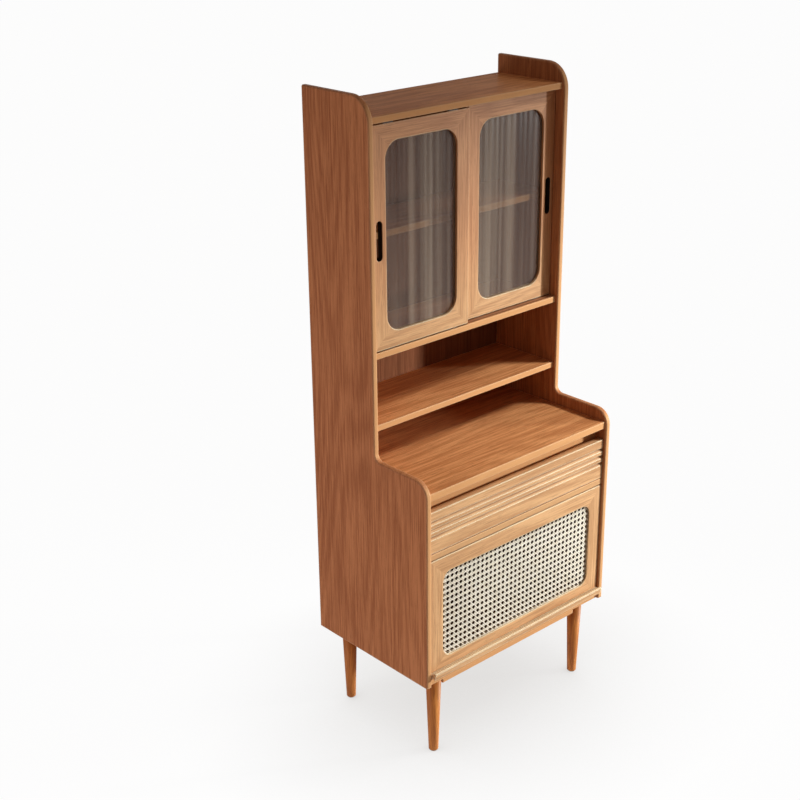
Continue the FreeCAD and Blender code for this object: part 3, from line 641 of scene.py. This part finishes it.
def straight_runs(low, high, fixed, along, across, middle, layer):
    """Pairs of strands along one axis, from low to high, beside each fixed place.

    Each dips towards the other layer at every crossing as a cosine of the pitch."""
    steps = int((high - low) / CANE_PITCH * STEPS_PER_PITCH)
    run = np.linspace(low, high, steps)
    places = np.sort(np.concatenate([fixed - PAIR_OFFSET, fixed + PAIR_OFFSET]))
    path = np.zeros((len(places), steps, 3))
    path[:, :, along] = run
    path[:, :, across] = places[:, None]
    dip = WAVE * (1 + np.cos(2 * np.pi * (run - middle) / CANE_PITCH))
    path[:, :, Y_AXIS] = sheet_y + layer - np.sign(layer) * dip
    side = np.zeros((len(places), 3))
    side[:, across] = 1.0 if along == X_AXIS else -1.0
    return path, side


def slanting_runs(rise, layer):
    """Single strands at 45 degrees, half a pitch off the crossings, cut to the sheet's rectangle.

    Height goes up or down with the place across, as rise is 1 or -1, less the strand's offset."""
    span_x = cane_high.x - cane_low.x
    span_z = cane_high.z - cane_low.z
    reach = int((span_x + span_z) / 2 / CANE_PITCH)
    offset = (np.arange(-reach, reach) + 0.5) * CANE_PITCH
    start = np.maximum(-span_x / 2, offset - span_z / 2)
    end = np.minimum(span_x / 2, offset + span_z / 2)
    kept = end - start > CANE_PITCH / 2
    offset, start, end = offset[kept], start[kept], end[kept]
    across = np.stack([start, end], 1)
    path = np.zeros((len(offset), 2, 3))
    path[:, :, X_AXIS] = middle_x + across
    path[:, :, Y_AXIS] = sheet_y + layer
    path[:, :, Z_AXIS] = middle_z + rise * (across - offset[:, None])
    side = np.zeros((len(offset), 3))
    side[:, X_AXIS] = -rise * DIAGONAL
    side[:, Z_AXIS] = DIAGONAL
    return path, side


def weave(name, runs, width, thick):
    """One cane piece from runs, which are pairs of a path and a side."""
    path, side = (np.concatenate(part) for part in zip(*runs))
    return make_piece(name, *strands(path, side, width, thick), "flap", "woven_cane")


level = weave(
    "cane_level_strands",
    [straight_runs(cane_low.x, cane_high.x, rows, X_AXIS, Z_AXIS, middle_x, -LAYER)],
    STRAND_WIDTH,
    STRAND_THICK)
weave(
    "cane_upright_strands",
    [straight_runs(cane_low.z, cane_high.z, columns, Z_AXIS, X_AXIS, middle_z, LAYER)],
    STRAND_WIDTH,
    STRAND_THICK)
weave(
    "cane_slanting_strands",
    [slanting_runs(1, SLANT_LAYER), slanting_runs(-1, -SLANT_LAYER)],
    SLANT_WIDTH,
    SLANT_THICK)
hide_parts("cane_panel")


def turned_leg(node):
    """Round leg: radius and height run together from foot to head, with a small round at the foot.

    A point is the leg's axis, plus its radius times the cosine and sine of the turn, at its
    height."""
    low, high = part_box(node)
    axis = (low + high) / 2
    head, length = (high.x - low.x) / 2, high.z - low.z
    bend = np.linspace(0.0, np.pi / 2, LEG_BEND_STEPS)
    radius = np.concatenate([[0.0], LEG_FOOT - LEG_ROUND * (1 - np.sin(bend)), [head, 0.0]])
    rise = np.concatenate([[0.0], LEG_ROUND * (1 - np.cos(bend)), [length, length]])
    turn = np.arange(LEG_SIDES) * 2 * np.pi / LEG_SIDES
    points = np.stack([
        axis.x + radius[:, None] * np.cos(turn),
        axis.y + radius[:, None] * np.sin(turn),
        np.repeat(low.z + rise[:, None], LEG_SIDES, 1)], -1)
    index = np.arange(points.shape[0] * LEG_SIDES).reshape(-1, LEG_SIDES)
    after = np.roll(index, -1, axis=1)
    walls = np.stack([index[1:-2], after[1:-2], after[2:-1], index[2:-1]], -1).reshape(-1, 4)
    foot_cap = np.stack([np.full(LEG_SIDES, index[0, 0]), after[1], index[1]], -1)
    head_cap = np.stack([np.full(LEG_SIDES, index[-1, 0]), index[-2], after[-2]], -1)
    used = np.concatenate([[index[0, 0]], index[1:-1].ravel(), [index[-1, 0]]])
    order = np.zeros(index.size, int)
    order[used] = np.arange(len(used))
    faces = [face for part in (walls, foot_cap, head_cap) for face in order[part].tolist()]
    points = points.reshape(-1, 3)[used]
    leg = make_piece(f"round_{node}", points, faces, "carcass", "turned_wood")
    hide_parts(node)


for leg_name in ("front_left_leg", "front_right_leg", "back_left_leg", "back_right_leg"):
    turned_leg(leg_name)


def light_path_share(finish):
    """1 for rays from the camera, mirrors and glass, and 0 for the light that falls on things."""
    path = finish.node("ShaderNodeLightPath")
    camera, mirror, glass = (Value(finish, path.outputs[name]) for name in SEEN_RAYS)
    return (camera + mirror + glass).within(0.0, 1.0)


def set_floor():
    """Pale floor that looks near white to the camera, with a soft shadow painted into its glow
    where the object stands over it, and a faint real shadow from its small matt share."""
    half = FLOOR_SIDE / 2
    corners = [
        (across * half, depth * half, -FLOOR_DROP)
        for across, depth in ((-1, -1), (1, -1), (1, 1), (-1, 1))]
    mesh = bpy.data.meshes.new("floor")
    mesh.from_pydata(corners, [], [[0, 1, 2, 3]])
    finish = new_finish("floor")
    matt = finish.node("ShaderNodeBsdfDiffuse", {}, {"Color": FLOOR_TONE})
    covered = finish.node(
        "ShaderNodeAmbientOcclusion",
        {"samples": FLOOR_SHADE_SAMPLES},
        {"Distance": FLOOR_SHADE_REACH})
    # Painted shadow: the glow darkens towards FLOOR_SHADE where the object covers the floor
    # nearby.
    tone = finish.blend(covered.outputs["AO"], FLOOR_SHADE, WHITE)
    glow = finish.node("ShaderNodeEmission", {}, {"Color": tone, "Strength": 1.0})
    mixed = finish.node(
        "ShaderNodeMixShader",
        {},
        {0: light_path_share(finish) * FLOOR_GLOW, 1: matt.outputs[0], 2: glow.outputs[0]})
    finish.node("ShaderNodeOutputMaterial", {}, {"Surface": mixed.outputs[0]})
    mesh.materials.append(finish.holder)
    floor = bpy.data.objects.new("floor", mesh)
    bpy.context.scene.collection.objects.link(floor)


def set_world():
    """Even soft light, white where the camera sees it."""
    finish = Finish(bpy.data.worlds.new("studio"))
    share = light_path_share(finish)
    strength = share * (1.0 - WORLD_LIGHT) + WORLD_LIGHT
    tone = finish.blend(share, WORLD_TONE, WHITE)
    back = finish.node("ShaderNodeBackground", {}, {"Color": tone, "Strength": strength})
    finish.node("ShaderNodeOutputWorld", {}, {"Surface": back.outputs[0]})
    bpy.context.scene.world = finish.holder


def set_lamp(name, kind, place, aim, **settings):
    """A lamp that stands at a place and looks at its aim."""
    lamp = bpy.data.lights.new(name, kind)
    for field, setting in settings.items():
        setattr(lamp, field, setting)
    holder = bpy.data.objects.new(name, lamp)
    holder.location = place
    holder.rotation_euler = (Vector(aim) - Vector(place)).to_track_quat("-Z", "Y").to_euler()
    bpy.context.scene.collection.objects.link(holder)


def set_camera():
    """Camera that looks along its turn and downward tilt, then rolls about its own axis."""
    ahead = Vector((
        math.sin(CAMERA_TURN) * math.cos(CAMERA_DOWN),
        math.cos(CAMERA_TURN) * math.cos(CAMERA_DOWN),
        -math.sin(CAMERA_DOWN)))
    right = ahead.cross(Vector((0, 0, 1))).normalized()
    up = right.cross(ahead)
    rolled_right = right * math.cos(CAMERA_ROLL) + up * math.sin(CAMERA_ROLL)
    rolled_up = up * math.cos(CAMERA_ROLL) - right * math.sin(CAMERA_ROLL)
    turn = Matrix((rolled_right, rolled_up, -ahead)).transposed().to_4x4()
    data = bpy.data.cameras.new("camera")
    data.sensor_width = SENSOR_WIDTH
    data.lens = FOCAL_PIXELS * SENSOR_WIDTH / IMAGE_SIDE
    data.clip_end = CAMERA_REACH
    camera = bpy.data.objects.new("camera", data)
    camera.matrix_world = Matrix.Translation(CAMERA_PLACE) @ turn
    bpy.context.scene.collection.objects.link(camera)
    bpy.context.scene.camera = camera


set_floor()
set_world()
for lamp_name, lamp_values in LAMPS.items():
    set_lamp(lamp_name, **lamp_values)
set_camera()
bpy.context.scene.view_settings.view_transform = "Standard"
